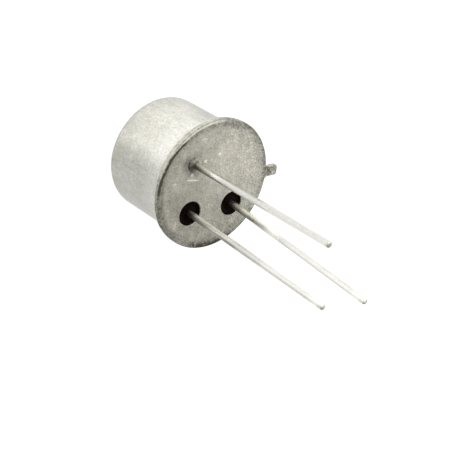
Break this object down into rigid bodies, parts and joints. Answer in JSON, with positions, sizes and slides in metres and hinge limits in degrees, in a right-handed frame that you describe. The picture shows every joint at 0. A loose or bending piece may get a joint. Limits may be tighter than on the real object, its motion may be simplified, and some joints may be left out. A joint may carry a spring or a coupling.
{
  "type": "transistor",
  "caption": "Metal-can transistor: drawn cap welded to a round header with a locating tab, wire leads through black glass seals, and a wire-bonded chip inside.",
  "frame": {"origin": "middle of the can's flat crown, on the surface that it stands on", "axes": "+Z along the leads, +X towards the emitter lead, with the locating tab halfway between +X and +Y"},
  "size_m": [0.0094, 0.0094, 0.02],
  "materials": {
    "can_plating": "matt nickel plating with fine drawing marks",
    "header_plating": "dull plating, mottled and scratched",
    "black_glass": "opaque black sealing glass, slightly pitted",
    "tinned_wire": "tinned wire with fine drawing lines",
    "braze": "rough grey braze",
    "silicon": "polished chip face with diced sides",
    "gold_preform": "reflowed metal film",
    "gold_wire": "bright drawn wire"
  },
  "bodies": {
    "root": {"can": "can_plating", "header": "header_plating", "emitter_seal": "black_glass", "base_seal": "black_glass", "emitter_lead": "tinned_wire", "base_lead": "tinned_wire", "collector_lead": "tinned_wire", "collector_braze": "braze", "die": "silicon", "die_attach": "gold_preform", "emitter_bond_wire": "gold_wire", "base_bond_wire": "gold_wire"}
  },
  "joints": []
}
